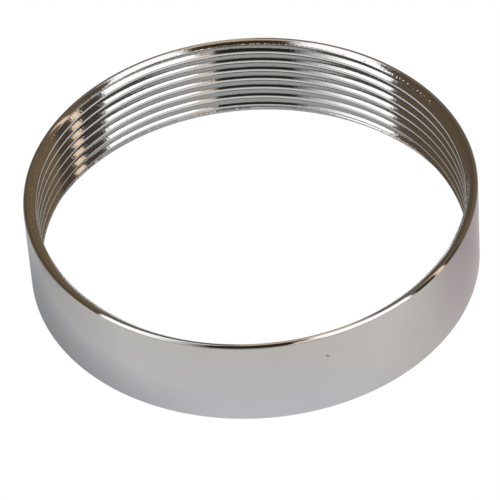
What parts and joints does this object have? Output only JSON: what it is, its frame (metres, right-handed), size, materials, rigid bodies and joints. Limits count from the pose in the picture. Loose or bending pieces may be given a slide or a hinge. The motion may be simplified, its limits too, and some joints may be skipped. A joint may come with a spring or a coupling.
{
  "type": "tap clamping ring",
  "caption": "Short, thin-walled chromed brass ring with a fine internal thread, screwed onto a tap body to clamp and cover the joint beneath it.",
  "frame": {"origin": "centre of the ring's foot, on the plane it stands on", "axes": "+Z along the ring's axis, from the foot with the long lead-in up to the polished rim; X and Y are free, as the ring is round"},
  "size_m": [0.037, 0.037, 0.008],
  "materials": {
    "chromed_brass": "mirror polished"
  },
  "bodies": {
    "root": {"clamping_ring": "chromed_brass"}
  },
  "joints": []
}
